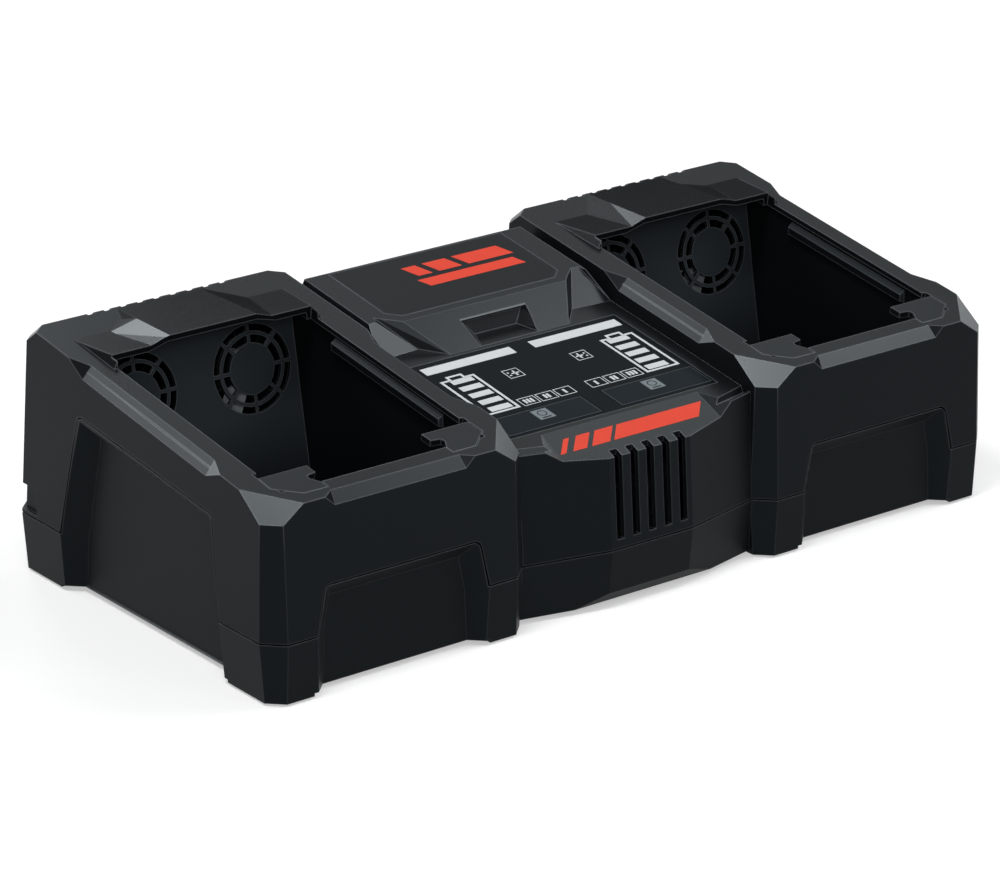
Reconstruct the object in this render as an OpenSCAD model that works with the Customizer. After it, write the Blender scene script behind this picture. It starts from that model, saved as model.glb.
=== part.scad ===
// Two-bay fast charger for slide-in power tool battery packs.
// +X runs along the width, +Y from the front to the back, +Z up.

/* [Overall] */
// Width over both bays
overall_w = 410; // [396:1:440]
// Depth from the front nose to the back wall
overall_d = 211.6; // [206:0.2:226]
// Height of the bay rim at the front
front_h = 91; // [88:0.5:98]
// Height of the bay rim at the back
back_h = 120; // [117:0.5:126]

/* [Bays] */
// Width of one bay body at the parting line
bay_w = 139.8; // [136:0.2:144]
// Flat chamfer on the upright corners of a bay
corner_cut = 9; // [6:0.5:11]
// Width of the battery opening in the rim
opening_w = 107; // [100:0.5:109]
// Rim between the front wall and the opening
front_rim = 12.6; // [11:0.2:15]
// Setback of the hood's free edge behind the middle of the depth
hood_edge = 35.6; // [30:0.2:40]
// Rise of the hood's raised middle over its low flats
hood_raise = 2.8; // [1.6:0.1:3.2]
// Thickness of the hood's free edge
hood_lip = 3; // [2.4:0.1:3.6]
// Height of the tub floor above the table
tub_floor_z = 24; // [20:0.5:28]
// Wall of the bay tubs
tub_wall = 2; // [1.6:0.1:2.4]
// Lean of the tub's back wall from upright
tub_lean = 9.5; // [6:0.5:11]

/* [Cooling] */
// Edge of the square fan frames
fan_size = 50; // [46:1:52]
// Depth of the fan frames
fan_depth = 15; // [10:0.5:20]
// Distance between the two fans of a bay
fan_pitch = 62; // [58:0.5:64]
// Outer radius of the round grilles
grille_r = 20.8; // [18:0.2:21.6]
// Radius of the closed middle of a grille
grille_hub_r = 12.1; // [10:0.1:13]
// Number of grille spokes
spokes = 8; // [6:1:10]
// Number of blades on a fan
blades = 7; // [5:1:9]
// Number of slots in the back of each bay
rear_slots = 9; // [5:1:10]
// Height of the lower ends of the back slots
rear_slot_z = 93; // [80:0.5:98]
// Number of slots in the front of the middle
front_slots = 5; // [3:1:6]

/* [Middle] */
// Drop of the display surface below the bay rim
display_drop = 12; // [10:0.2:14]
// Width of the display panel
panel_w = 117; // [112:0.5:120]
// Length of the display panel
panel_l = 76; // [72:0.5:77]
// Thickness of the display panel
panel_t = 2.3; // [2:0.1:2.6]
// Travel of a mode key
key_travel = 0.6; // [0.3:0.1:0.8]
// Width of the plate on the raised platform
plate_w = 99; // [80:0.5:104]
// Length of the plate on the raised platform
plate_l = 50; // [40:0.5:52]

/* [Base] */
// Height of the parting line above the table
part_z = 29.1; // [27:0.1:33]
// Height of the front tongue of the base above the parting line
tongue_h = 22.2; // [16:0.2:26]
// Depth of the recess in the side of the base
side_scoop = 9.4; // [6:0.2:9.6]
// Depth of the recess in the front of the base
front_scoop = 8; // [5:0.2:8.6]
// Gap in the parting line between base and housing
seam = 0.8; // [0.4:0.1:1.2]
// Radius of the cord gland's bore
cord_r = 3.8; // [3:0.1:4.4]

/* [Walls] */
// Wall of the housing and the base
wall = 2.6; // [2:0.1:2.8]
// Running gap between pieces laid into each other
fit = 0.25; // [0.15:0.05:0.4]

/* [Hidden] */
$fn = 48;

bay_x = (overall_w - bay_w) / 2;
nose = 1.7;
bay_front = -overall_d / 2 + nose;
bay_back = overall_d / 2;
front_top = bay_front + 2.2;
back_top = bay_back - 19;
slope = (back_h - front_h) / (back_top - front_top);
tilt = atan(slope);

taper = 2;
foot_z = 1.2;
floor_z = 2.6;
floor_t = 2.6;
back_lean = 6.4;
front_lean = 1.4;

// rim plane of the bays, platform plane and display plane
function top_z(y) = front_h + slope * (y - front_top);
plat_drop = 1.4;
function plat_z(y) = top_z(y) - plat_drop;
function disp_z(y) = top_z(y) - display_drop;
module on_top() translate([0, 0, top_z(0)]) rotate([tilt, 0, 0]) children();
module on_platform() translate([0, 0, plat_z(0)]) rotate([tilt, 0, 0]) children();
module on_display() translate([0, 0, disp_z(0)]) rotate([tilt, 0, 0]) children();
module at_bay(side) translate([side * bay_x, 0, 0]) mirror([side < 0 ? 1 : 0, 0, 0]) children();

// edges of a polygon, listed anticlockwise, moved inwards by d
function unit(v) = v / norm(v);
function left_of(v) = [-v[1], v[0]];
function inset(p, d) = [for (i = [0 : len(p) - 1])
    let (n = len(p),
        u = left_of(unit(p[i] - p[(i + n - 1) % n])),
        v = left_of(unit(p[(i + 1) % n] - p[i])))
    p[i] + d / (1 + u * v) * (u + v)];

// flat-faced solid between two outlines with the same number of corners
function total(v, i = 0) = i == len(v) - 1 ? v[i] : v[i] + total(v, i + 1);
function face_normal(p) = total([for (i = [0 : len(p) - 1]) cross(p[i], p[(i + 1) % len(p)])]);
function turned(p) = [for (i = [len(p) - 1 : -1 : 0]) p[i]];
module loft(first, last) {
    n = len(first);
    flip = face_normal(first) * (last[0] - first[0]) < 0;
    a = flip ? turned(first) : first;
    b = flip ? turned(last) : last;
    polyhedron(
        points = concat(a, b),
        faces = concat(
            [[for (i = [0 : n - 1]) i]],
            [[for (i = [0 : n - 1]) 2 * n - 1 - i]],
            [for (i = [0 : n - 1]) [(i + 1) % n, i, n + i]],
            [for (i = [0 : n - 1]) [(i + 1) % n, n + i, n + (i + 1) % n]]));
}

// wedge that breaks an edge: k on the upper face, l on the lower one, tip where it runs out
function cut_end(k, l, tip) = [
    k + 0.3 * (k - l), l + 0.3 * (l - k), tip + 0.8 * (tip - (k + l) / 2)
];
module edge_cut(end_a, end_b) {
    loft(cut_end(end_a[0], end_a[1], end_a[2]), cut_end(end_b[0], end_b[1], end_b[2]));
}
function flipped(p) = [for (q = p) [-q[0], q[1], q[2]]];

// ---------- bay body, drawn about its own middle, +X to its outer side ----------

half = bay_w / 2;
flare = 3.4;
tall = 140;
top_half = half - flare;
function wall_x(z) = half - flare * (z - part_z) / (tall - part_z);
function front_y(z) = bay_front + (z - part_z) * tan(front_lean);
function back_y(z) = bay_back - (z - part_z) * tan(back_lean);
chamfer_z = back_h - 8.5;
side_view_up = [
    [bay_front, part_z], [bay_back, part_z], [back_y(chamfer_z), chamfer_z],
    [back_top, back_h], [front_y(front_h), front_h]
];
front_view_up = [[-half, part_z], [half, part_z], [top_half, tall], [-top_half, tall]];
side_view_low = [
    [bay_front + taper, 0], [bay_back - taper, 0], [bay_back, part_z], [bay_front, part_z]
];
front_view_low = [[-half + taper, 0], [half - taper, 0], [half, part_z], [-half, part_z]];

// inset of an upright profile whose edge at the parting line stays open
function inset_open(p, o) = let (q = inset(p, o)) [for (i = [0 : len(p) - 1])
    [q[i][0], abs(p[i][1] - part_z) < 0.01 ? part_z - (o > 0 && max(p[0][1], 0) > 1 ? 1 : 0) :
        q[i][1]]];

module side_on(points, w) {
    rotate([90, 0, 90]) linear_extrude(height = w, center = true) polygon(points);
}
module front_on(points, w) {
    rotate([90, 0, 0]) linear_extrude(height = w, center = true) polygon(points);
}
// upright prism with the two corners of one end cut, leaning from the parting line
module corner_prism(back, lean, o) {
    s = back ? 1 : -1;
    c = corner_cut;
    w = half + 0.05;
    p = [[w, -s * 300], [w, -s * c], [w - c, 0], [-w + c, 0], [-w, -s * c], [-w, -s * 300]];
    translate([0, back ? bay_back : bay_front, part_z]) rotate([lean, 0, 0])
        translate([0, 0, -60]) linear_extrude(height = 180)
            polygon(inset(back ? p : turned(p), o));
}
// sloping facets where the corners meet the rim
facet_reach = 24;
front_sum = (wall_x(front_h) - bay_front - facet_reach) / sqrt(2) + top_z(bay_front + facet_reach);
back_sum = (wall_x(back_h) + back_top - 5.2) / sqrt(2) + top_z(back_top - 5.2);
module corner_facets(o) {
    for (turn = [-45, -135]) rotate([0, 0, turn]) rotate([0, -45, 0])
        translate([front_sum / sqrt(2) - o, -60, -80]) cube([60, 120, 160]);
    for (turn = [45, 135]) rotate([0, 0, turn]) rotate([0, -45, 0])
        translate([back_sum / sqrt(2) - o, -60, -80]) cube([60, 120, 160]);
}
module bay_up(o) {
    difference() {
        intersection() {
            side_on(inset_open(side_view_up, o), bay_w + 10);
            front_on(inset_open(front_view_up, o), 2 * overall_d);
            corner_prism(false, -front_lean, o);
            corner_prism(true, back_lean, o);
        }
        corner_facets(o);
    }
}
low_lean = atan(taper / part_z);
module bay_low(o) {
    intersection() {
        side_on(inset_open(side_view_low, o), bay_w + 10);
        front_on(inset_open(front_view_low, o), 2 * overall_d);
        corner_prism(false, low_lean, o);
        corner_prism(true, -low_lean, o);
    }
}

// ---------- tongues of the base and the recesses in them ----------

side_t0 = bay_front + 39.4;
side_t1 = bay_back - 41.7;
side_outline = [
    [side_t0 - 2.5, -6], [side_t1 + 3.8, -6], [side_t1, part_z],
    [side_t1 - 16.5, top_z(side_t1 - 16.5) - 24.2], [side_t0 + 5.9, top_z(side_t0 + 5.9) - 21],
    [side_t0, part_z]
];
front_t = half - 24.6;
front_outline = [
    [-front_t - 1.5, -6], [front_t + 1.5, -6], [front_t, part_z],
    [front_t - 4.6, part_z + tongue_h], [-front_t + 4.6, part_z + tongue_h], [-front_t, part_z]
];
// outline with the corners i and i + 1 rounded to radius r
function arc_at(a, b, c, r) = let (u = unit(a - b), v = unit(c - b), h = unit(u + v),
        t = r / tan(acos(u * v) / 2), m = b + h * (r / sin(acos(u * v) / 2)))
    [for (k = [0 : 4]) let (p = b + u * t + (v * t - u * t) * k / 4) m + unit(p - m) * r];
function rounded(p, i, r) = concat([for (k = [0 : i - 1]) p[k]],
    arc_at(p[i - 1], p[i], p[i + 1], r), arc_at(p[i], p[i + 1], p[(i + 2) % len(p)], r),
    [for (k = [i + 2 : 1 : len(p) - 1]) p[k]]);

module tongue_regions(g) {
    front_deep = front_scoop + 8;
    side_deep = side_scoop + 8;
    translate([0, bay_front - 4 + front_deep / 2, 0])
        front_on(inset(rounded(front_outline, 3, 4), -g), front_deep);
    translate([half + 4 - side_deep / 2, 0, 0])
        side_on(inset(rounded(side_outline, 3, 4), -g), side_deep);
}
module scoops(o) {
    slack = o * sqrt(2);
    out = 3;
    fa = inset(front_outline, front_scoop + o - slack);
    fb = inset(front_outline, -out - slack);
    loft([for (q = fa) [q[0], bay_front + front_scoop + o, q[1]]],
        [for (q = fb) [q[0], bay_front - out, q[1]]]);
    sa = inset(side_outline, side_scoop + o - slack);
    sb = inset(side_outline, -out - slack);
    loft([for (q = sa) [half - side_scoop - o, q[0], q[1]]],
        [for (q = sb) [half + out, q[0], q[1]]]);
}

// ---------- middle section ----------

mid_half = 66.8 + (overall_w - 2 * bay_w - 130.4) / 2;
mid_gap = 4.4;
side_gap = 0.25;
mid_in = overall_w / 2 - bay_w - side_gap - 1.8;
mid_back = bay_back - 21.8;
nose_half = 22.9;
mid_plan = [
    [-mid_half, 10.1], [-nose_half, 0], [nose_half, 0], [mid_half, 10.1],
    [mid_half, 230], [-mid_half, 230]
];
function mid_back_y(z) = mid_back - (z - part_z) * tan(back_lean);
// where the back wall meets a plane lying that far below the bay rim
function back_at(drop) = (mid_back + (part_z - top_z(0) + drop) * tan(back_lean)) /
    (1 + slope * tan(back_lean));
module mid_prism(lean, o) {
    translate([0, -overall_d / 2, part_z]) rotate([lean, 0, 0])
        translate([0, 0, -60]) linear_extrude(height = 200) polygon(inset(mid_plan, o));
}
module mid_up() {
    y0 = -overall_d / 2 - 5;
    intersection() {
        mid_prism(-3.3, 0);
        side_on([[y0, part_z], [mid_back + 6, part_z], [mid_back + 6, disp_z(mid_back + 6)],
            [y0, disp_z(y0)]], overall_w);
    }
}
// middle with its platform, cut along the platform plane and the back wall
module mid_body() {
    difference() {
        union() { mid_up(); platform(); }
        on_platform() translate([-100, -150, 0]) cube([200, 300, 60]);
        translate([0, mid_back, part_z]) rotate([back_lean, 0, 0])
            translate([-100, 0, -60]) cube([200, 60, 200]);
    }
}
module mid_low(o, z0) {
    y0 = -overall_d / 2 - 5;
    intersection() {
        mid_prism(7, o);
        side_on([[y0 + 12 + o, z0], [mid_back - o, z0], [mid_back - o, part_z],
            [y0, part_z], [y0, 17]], overall_w);
    }
}
// hollow of the middle, its roof following the front chamfer
strip_y = -81.7;
strip_drop = 0.4516;
module mid_hollow(o, roof) {
    y0 = -overall_d / 2 - 5;
    lead = (roof - o * sqrt(1 + strip_drop * strip_drop)) / (strip_drop - slope);
    bend = strip_y - lead;
    intersection() {
        mid_prism(-3.3, o);
        side_on([[y0, part_z - 1], [mid_back - o, part_z - 1],
            [mid_back_y(disp_z(76)) - o, disp_z(76) - roof], [bend, disp_z(bend) - roof],
            [y0, disp_z(bend) - roof + (y0 - bend) * strip_drop]], 2 * mid_in);
    }
}
// screw posts of the middle, beside the main board
mid_post_x = mid_in - 4.8;
mid_post_y = [mid_back - 150, mid_back - 22];
module at_mid_posts() for (x = [-mid_post_x, mid_post_x], y = mid_post_y)
    translate([x, y, 0]) children();
// raised platform with its stepped front
step_y = 18.2;
module platform() {
    w = mid_half - mid_gap;
    b = mid_back + 6;
    top = [[-w, b], [-w, 23], [-w + 5.4, 27.5], [-46.9, step_y], [46.9, step_y], [w - 5.4, 27.5],
        [w, 23], [w, b]];
    low = [[-mid_half, b], [-mid_half, 8.5], [-43.7, 9.6], [-33.3, step_y - 19.8],
        [33.3, step_y - 19.8], [43.7, 9.6], [mid_half, 8.5], [mid_half, b]];
    p = [for (q = low) [q[0], q[1], disp_z(q[1]) - 0.5]];
    over = [for (q = top) [q[0], q[1], plat_z(q[1])]];
    loft(p, [for (i = [0 : len(p) - 1]) over[i] + 0.2 * (over[i] - p[i])]);
}
module platform_hollow(y0, w) {
    y1 = back_at(plat_drop) - wall - 0.8;
    side_on([[y0 - 4, disp_z(y0 - 4) - 6], [y1, disp_z(y1) - 6], [y1, plat_z(y1) - wall - 1],
        [y0, plat_z(y0) - wall - 1]], w);
}
// finger notch in the step
module finger_notch() {
    up = [13.9, plat_z(13.9) - 5];
    foot = [-2, disp_z(-2) + 0.1];
    deep = [10.6, disp_z(10.6) + 0.1];
    out = left_of(unit(up - foot)) * 2;
    ring = [[17, foot], [11.9, deep], [17, up], [18.7, up + out], [18.7, foot + out]];
    loft([for (q = ring) [-q[0], q[1][0], q[1][1]]], [for (q = ring) [q[0], q[1][0], q[1][1]]]);
}
// broad chamfer over the front slots, with a facet at either end
module front_strip() {
    k = [44.2, strip_y, disp_z(strip_y)];
    l = [44.8, strip_y - 16.6, disp_z(strip_y) - 16.6 * strip_drop];
    tip = [52.5, strip_y - 13.8, disp_z(strip_y - 13.8)];
    far = l + 0.7 * (l - k);
    over = k + 1.0 * (tip - l);
    corner = far + 2.4 * (tip - l);
    lead = 0.15 * (k - l);
    end = [k + lead, far, corner, over + lead];
    loft(flipped(end), end);
    edge = atan2(10.1, mid_half - nose_half);
    for (s = [-1, 1]) translate([s * nose_half, -overall_d / 2 + 2.8, 0])
        rotate([0, 0, s * edge]) translate([s > 0 ? 0 : -60, 0, disp_z(-96)])
            rotate([60, 0, 0]) translate([24 * (s > 0 ? 1 : 0), 1.2, -5])
                cube([36, 12, 30]);
}

// ---------- cut-outs in the bay rim ----------

mouth = opening_w / 2;
mouth_front = bay_front + front_rim;
stop_back = mouth_front + 14.8;
stop_in = mouth - 23.3;
stop_outline = [
    [stop_in, stop_back], [stop_in, stop_back - 6.7], [stop_in + 5, stop_back - 7.6],
    [stop_in + 5.4, stop_back - 10], [stop_in + 2.7, mouth_front], [stop_in + 2.7, mouth_front - 5],
    [mouth - 8.3, mouth_front - 4.8], [mouth + 2.1, mouth_front + 4.7], [mouth + 1.7, stop_back]
];
module rim_opening() {
    linear_extrude(height = 40, center = true) {
        polygon([[-mouth, mouth_front], [mouth, mouth_front], [mouth, hood_edge + 6],
            [-mouth, hood_edge + 6]]);
        for (s = [-1, 1]) polygon([[s * mouth, stop_back], [s * (mouth + 2), stop_back],
            [s * (mouth + 2), stop_back + 4], [s * mouth, stop_back + 4]]);
    }
}
module stop_shape(g) {
    polygon(inset(stop_outline, -g));
}

// ---------- housing ----------

hood_z = top_z(back_top - 18.8);
hood_back = back_top - 18.8;
module hood() {
    w = mouth - 0.9;
    wide = mouth + 2.9;
    y = hood_edge;
    loft(
        [[-wide, y, top_z(y) - 1.5], [wide, y, top_z(y) - 1.5], [wide, hood_back + 4, hood_z - 1],
            [-wide, hood_back + 4, hood_z - 1]],
        [[-w, y, hood_z], [w, y, hood_z], [wide, hood_back, hood_z], [-wide, hood_back, hood_z]]);
    peak = hood_z + hood_raise;
    end = (peak - front_h) / slope + front_y(front_h);
    loft(
        [[-33, y, hood_z - 0.4], [33, y, hood_z - 0.4], [39, hood_back - 1, hood_z - 0.4],
            [29, end - 3, hood_z - 0.4], [-29, end - 3, hood_z - 0.4],
            [-39, hood_back - 1, hood_z - 0.4]],
        [[-23.4, y, peak], [23.4, y, peak], [22.8, hood_back, peak], [22.3, end + 0.5, peak],
            [-22.3, end + 0.5, peak], [-22.8, hood_back, peak]]);
}
module under_hood() {
    z = hood_z - hood_lip;
    translate([0, hood_edge + 12, 0]) front_on([
        [-mouth + 2, 60], [mouth - 2, 60], [mouth - 2, top_z(hood_edge) - 1], [mouth - 3, z], [34, z],
        [24, z + hood_raise], [-24, z + hood_raise], [-34, z], [-mouth + 3, z],
        [-mouth + 2, top_z(hood_edge) - 1]], 30);
}
slot_pitch = 8.9;
module rear_vents() {
    for (i = [0 : rear_slots - 1]) translate([(i - (rear_slots - 1) / 2) * slot_pitch - 1.75,
        back_top - 1.2, rear_slot_z]) cube([3.5, 40, 60]);
}
module rear_groove() {
    difference() {
        translate([-half - 5, bay_back - 22, part_z + 2]) cube([bay_w + 10, 30, 12.5]);
        bay_up(1.8);
    }
}
module side_strip(y0, y1) {
    function k(y) = [wall_x(front_h) - 5.4, y, top_z(y)];
    function l(y) = [wall_x(top_z(y) - 5.5), y - 1, top_z(y) - 5.5];
    function t(y) = [wall_x(top_z(y)), y, top_z(y)];
    edge_cut([k(y0 + 12), l(y0 + 12), t(y0)], [k(y1 - 12), l(y1 - 11), t(y1)]);
}
module front_edge_strip() {
    k = [33.6, front_y(front_h) + 4, top_z(front_y(front_h) + 4)];
    l = [34.4, front_y(front_h - 4.6), front_h - 4.6];
    t = [39.4, front_y(front_h), front_h];
    edge_cut(flipped([k, l, t]), [k, l, t]);
}
post_y = [bay_front + 17.5, bay_back - 24];
post_x = half - 8;
module housing_posts() {
    intersection() {
        for (y = post_y, s = [-1, 1]) translate([s * post_x, y, part_z + seam / 2])
            cylinder(r = 3.6, h = 110);
        bay_up(1.2);
    }
}
module bay_housing() {
    difference() {
        union() {
            difference() {
                union() { bay_up(0); hood(); }
                bay_up(wall);
                tongue_regions(seam / 2);
            }
            housing_posts();
        }
        on_top() rim_opening();
        for (s = [-1, 1]) mirror([s < 0 ? 1 : 0, 0, 0]) on_top()
            translate([0, 0, -wall - 2]) linear_extrude(height = wall + 4) stop_shape(fit);
        under_hood();
        rear_vents();
        rear_groove();
        side_strip(bay_front + 38.3, back_top - 31.7);
        mirror([1, 0, 0]) side_strip(bay_front + 38.3, back_top - 70.2);
        front_edge_strip();
        for (y = post_y, s = [-1, 1]) translate([s * post_x, y, part_z - 1]) cylinder(r = 1.55, h = 16);
        translate([-100, -150, part_z - 5]) cube([200, 300, 5 + seam / 2]);
    }
}
panel_mid = -41.3;
key_w = 52;
key_l = 16.2;
key_v = -69.4;
key_mid = 5.4 + key_w / 2;
module mid_housing() {
    difference() {
        union() {
            difference() {
                mid_body();
                mid_hollow(wall, wall + 1.8);
                for (b = [[32, 2 * (mid_half - mid_gap - wall)], [22, 86]])
                    platform_hollow(b[0], b[1]);
            }
            on_display() for (x = [-40, 40], v = [-66, -16])
                translate([x, v, -10.4 + 1.6]) cylinder(r = 2.6, h = 5.6);
            intersection() {
                at_mid_posts() translate([0, 0, part_z + seam / 2]) cylinder(r = 3.6, h = 110);
                mid_hollow(wall - 0.5, wall + 1);
            }
        }
        at_mid_posts() translate([0, 0, part_z - 1]) cylinder(r = 1.55, h = 16);
        for (s = [-1, 1]) at_bay(s) bay_up(-side_gap);
        finger_notch();
        front_strip();
        for (i = [0 : front_slots - 1]) translate([(i - (front_slots - 1) / 2) * 9 - 2.1,
            -overall_d / 2 - 6, part_z + 4.6]) cube([4.2, 12.8, 70]);
        on_display() translate([0, panel_mid, -panel_t]) linear_extrude(height = 8)
            square([panel_w + 2 * fit, panel_l + 2 * fit], center = true);
        on_display() for (s = [-1, 1]) translate([s * key_mid, key_v, -12]) cylinder(r = 2.3, h = 12);
        on_platform() translate([0, 0, -1.6]) linear_extrude(height = 5)
            polygon(inset(plate_outline, -fit));
        translate([-100, -150, part_z - 5]) cube([200, 300, 5 + seam / 2]);
    }
}
plate_mid = 48.5;
plate_outline = [
    [-plate_w / 2, plate_mid + plate_l / 2], [-plate_w / 2, plate_mid - plate_l / 2 + 5.5],
    [-plate_w / 2 + 6, plate_mid - plate_l / 2], [plate_w / 2 - 6, plate_mid - plate_l / 2],
    [plate_w / 2, plate_mid - plate_l / 2 + 5.5], [plate_w / 2, plate_mid + plate_l / 2]
];
module housing_left() color("#3d4244") at_bay(-1) bay_housing();
module housing_right() color("#3d4244") at_bay(1) bay_housing();
module housing_middle() color("#3d4244") mid_housing();

// ---------- base ----------

gland_z = 17.5;
board_z = 13;
board_w = 104;
board_l = 150;
board_y = -10;
// post of the base, wider around the sunk screw head
head_z = 11;
module screw_post() {
    cylinder(r = 4.8, h = head_z + 2);
    cylinder(r = 4, h = part_z);
}
module screw_hole() translate([0, 0, -1]) {
    cylinder(r = 1.8, h = part_z + 2);
    cylinder(r = 3.5, h = head_z + 1);
}
module bay_base() {
    difference() {
        union() {
            bay_low(0);
            intersection() {
                bay_up(0);
                tongue_regions(-seam / 2);
            }
        }
        scoops(0);
        difference() {
            intersection() {
                union() { bay_low(wall); bay_up(wall); }
                translate([-100, -150, floor_z + floor_t]) cube([200, 300, 200]);
            }
            scoops(wall);
            for (y = post_y, s = [-1, 1]) translate([s * post_x, y, 0]) screw_post();
        }
        translate([-front_t - 1.5, -150, -1]) cube([2 * front_t + 3, 300, 1 + floor_z]);
        translate([-100, side_t0 - 2.5, -1]) cube([200, side_t1 - side_t0 + 6.3, 1 + floor_z]);
        translate([-100, -150, -1]) cube([200, 300, 1 + foot_z]);
        for (y = post_y, s = [-1, 1]) translate([s * post_x, y, 0]) screw_hole();
        pads(fit);
        difference() {
            translate([-100, -150, part_z - seam / 2]) cube([200, 300, 10]);
            tongue_regions(-seam / 2);
        }
    }
}
// outlines of the foot pads under the four corners of a bay
pad_h = foot_z + 1;
module pads(g) {
    for (x = [-front_t - 8.7, front_t + 8.7], y = [side_t0 - 9.8, side_t1 + 10.4])
        translate([x, y, 0]) linear_extrude(height = pad_h)
            polygon(inset([[-4, -5], [4, -5], [4, 5], [-4, 5]], -g));
}
module mid_base() {
    difference() {
        mid_low(0, floor_z);
        intersection() {
            mid_low(wall, floor_z + floor_t);
            translate([-100, -150, floor_z + floor_t]) cube([200, 300, 100]);
        }
        translate([-100, -150, part_z - seam / 2]) cube([200, 300, 10]);
        translate([0, mid_back + 5, gland_z]) rotate([90, 0, 0]) cylinder(r = 6.3, h = 20);
        for (x = [-50, 50], y = [-68, 48]) translate([x, y, floor_z - 1]) cylinder(r = 1.2, h = 20);
    }
    for (x = [-50, 50], y = [-68, 48]) translate([x, y, floor_z + 1]) difference() {
        cylinder(r = 2.6, h = board_z - floor_z - 1);
        translate([0, 0, 3]) cylinder(r = 1.2, h = 20);
    }
}
module mid_posts() intersection() {
    at_mid_posts() screw_post();
    translate([-100, -150, floor_z + 0.5]) cube([200, 300, part_z - seam / 2 - floor_z - 0.5]);
}
module base_shell() color("#373b3d") {
    for (s = [-1, 1]) at_bay(s) bay_base();
    difference() {
        union() { mid_base(); mid_posts(); }
        at_mid_posts() screw_hole();
        for (s = [-1, 1]) at_bay(s) intersection() {
            bay_low(wall);
            translate([-100, -150, floor_z + floor_t]) cube([200, 300, 100]);
        }
    }
}

// ---------- bay tubs ----------

tub_half = mouth + 2;
tub_front = mouth_front + 0.3;
function tub_y(z) = 42.1 + z * tan(tub_lean);
tub_top = wall + 0.5;
fan_z = 87;
module on_back_wall(x) translate([x, tub_y(fan_z), fan_z]) rotate([-tub_lean, 0, 0]) children();
module grille() {
    rings = [[grille_hub_r, grille_r * 0.76], [grille_r * 0.845, grille_r]];
    difference() {
        for (r = rings) rotate([90, 0, 0]) difference() {
            cylinder(r = r[1], h = 30, center = true);
            cylinder(r = r[0], h = 31, center = true);
        }
        for (i = [0 : spokes - 1]) rotate([0, i * 360 / spokes, 0])
            translate([-0.8, -16, 0]) cube([1.6, 32, grille_r + 1]);
    }
}
module tub_profile(o, z0) {
    side_on([[tub_front - o, z0], [tub_y(z0) + o, z0], [tub_y(108) + o, 108],
        [tub_y(108) + o, top_z(tub_y(108) + o) - tub_top],
        [tub_front - o, top_z(tub_front - o) - tub_top]], 2 * (tub_half + o));
}
module rail() {
    drop = [5, 7, 10.5, 11.5];
    x = tub_half;
    ring = [[x + 0.5, drop[0]], [x - 2.5, drop[1]], [x - 2.5, drop[2]], [x + 0.5, drop[3]]];
    y0 = -57;
    y1 = 25;
    loft([for (q = ring) [q[0], y0, top_z(y0) - q[1]]], [for (q = ring) [q[0], y1, top_z(y1) - q[1]]]);
}
module tub() {
    difference() {
        tub_profile(tub_wall, tub_floor_z - tub_wall);
        difference() {
            tub_profile(0, tub_floor_z);
            rail();
            mirror([1, 0, 0]) rail();
        }
        for (x = [-fan_pitch / 2, fan_pitch / 2]) on_back_wall(x) grille();
    }
    // flange under the rim, wide enough to carry the stops
    difference() {
        side_on([[tub_front - 4.6, top_z(tub_front - 4.6) - tub_top - 2],
            [tub_y(100), top_z(tub_y(100)) - tub_top - 2], [tub_y(100), top_z(tub_y(100)) - tub_top],
            [tub_front - 4.6, top_z(tub_front - 4.6) - tub_top]], 2 * (tub_half + 2.4));
        translate([-tub_half, tub_front, 60]) cube([2 * tub_half, 200, 100]);
    }
    // feet that stand on the base
    for (x = [-36, 36], y = [-70, 30]) translate([x, y, floor_z + floor_t])
        cylinder(r = 4, h = tub_floor_z - tub_wall - floor_z - floor_t + 0.5);
}
module tub_left() color("#24282a") at_bay(-1) tub();
module tub_right() color("#24282a") at_bay(1) tub();
module stops() {
    for (s = [-1, 1]) mirror([s < 0 ? 1 : 0, 0, 0]) on_top()
        translate([0, 0, -wall - 0.4]) linear_extrude(height = wall + 0.4) stop_shape(0);
}
module stops_left() color("#4a4f51") at_bay(-1) stops();
module stops_right() color("#4a4f51") at_bay(1) stops();

// ---------- display and keys ----------

module key_hole(s, g) {
    translate([s * key_mid - key_w / 2 - g, key_v - key_l / 2 - g])
        square([key_w + 2 * g, key_l + 2 * g]);
}
bar_l = 50.5;
module bar_hole(s, g) {
    translate([s * 30.6 - bar_l / 2 - g, -13 - g]) square([bar_l + 2 * g, 6.4 + 2 * g]);
}
module display_panel() color("#474e52") on_display() translate([0, 0, -panel_t])
    linear_extrude(height = panel_t) difference() {
        translate([0, panel_mid]) square([panel_w, panel_l], center = true);
        for (s = [-1, 1]) {
            key_hole(s, fit);
            bar_hole(s, 0.1);
        }
    }
module light_bars() color("#d9dcdc") on_display() for (s = [-1, 1]) translate([0, 0, -panel_t])
    linear_extrude(height = panel_t) bar_hole(s, 0);
module mode_key(s) {
    on_display() {
        translate([0, 0, -1.4]) linear_extrude(height = 1.4) key_hole(s, 0);
        translate([s * key_mid, key_v, -5]) cylinder(r = 2, h = 4);
    }
}
module mode_key_left() color("#525a5e") mode_key(-1);
module mode_key_right() color("#525a5e") mode_key(1);
module badge_plate() color("#4b5052") on_platform() translate([0, 0, -1.6])
    linear_extrude(height = 1.6) polygon(plate_outline);
led_z = -10.4;
module display_board() color("#1f5a35") on_display() translate([0, panel_mid, led_z])
    linear_extrude(height = 1.6) square([96, 66], center = true);
module key_switches() color("#26292b") on_display() for (s = [-1, 1])
    translate([s * key_mid, key_v, led_z + 1.6]) {
        translate([-3, -3, 0]) cube([6, 6, 2.4]);
        cylinder(r = 1.7, h = -5 - key_travel - 0.2 - led_z - 1.6);
    }

// ---------- fans ----------

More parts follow.
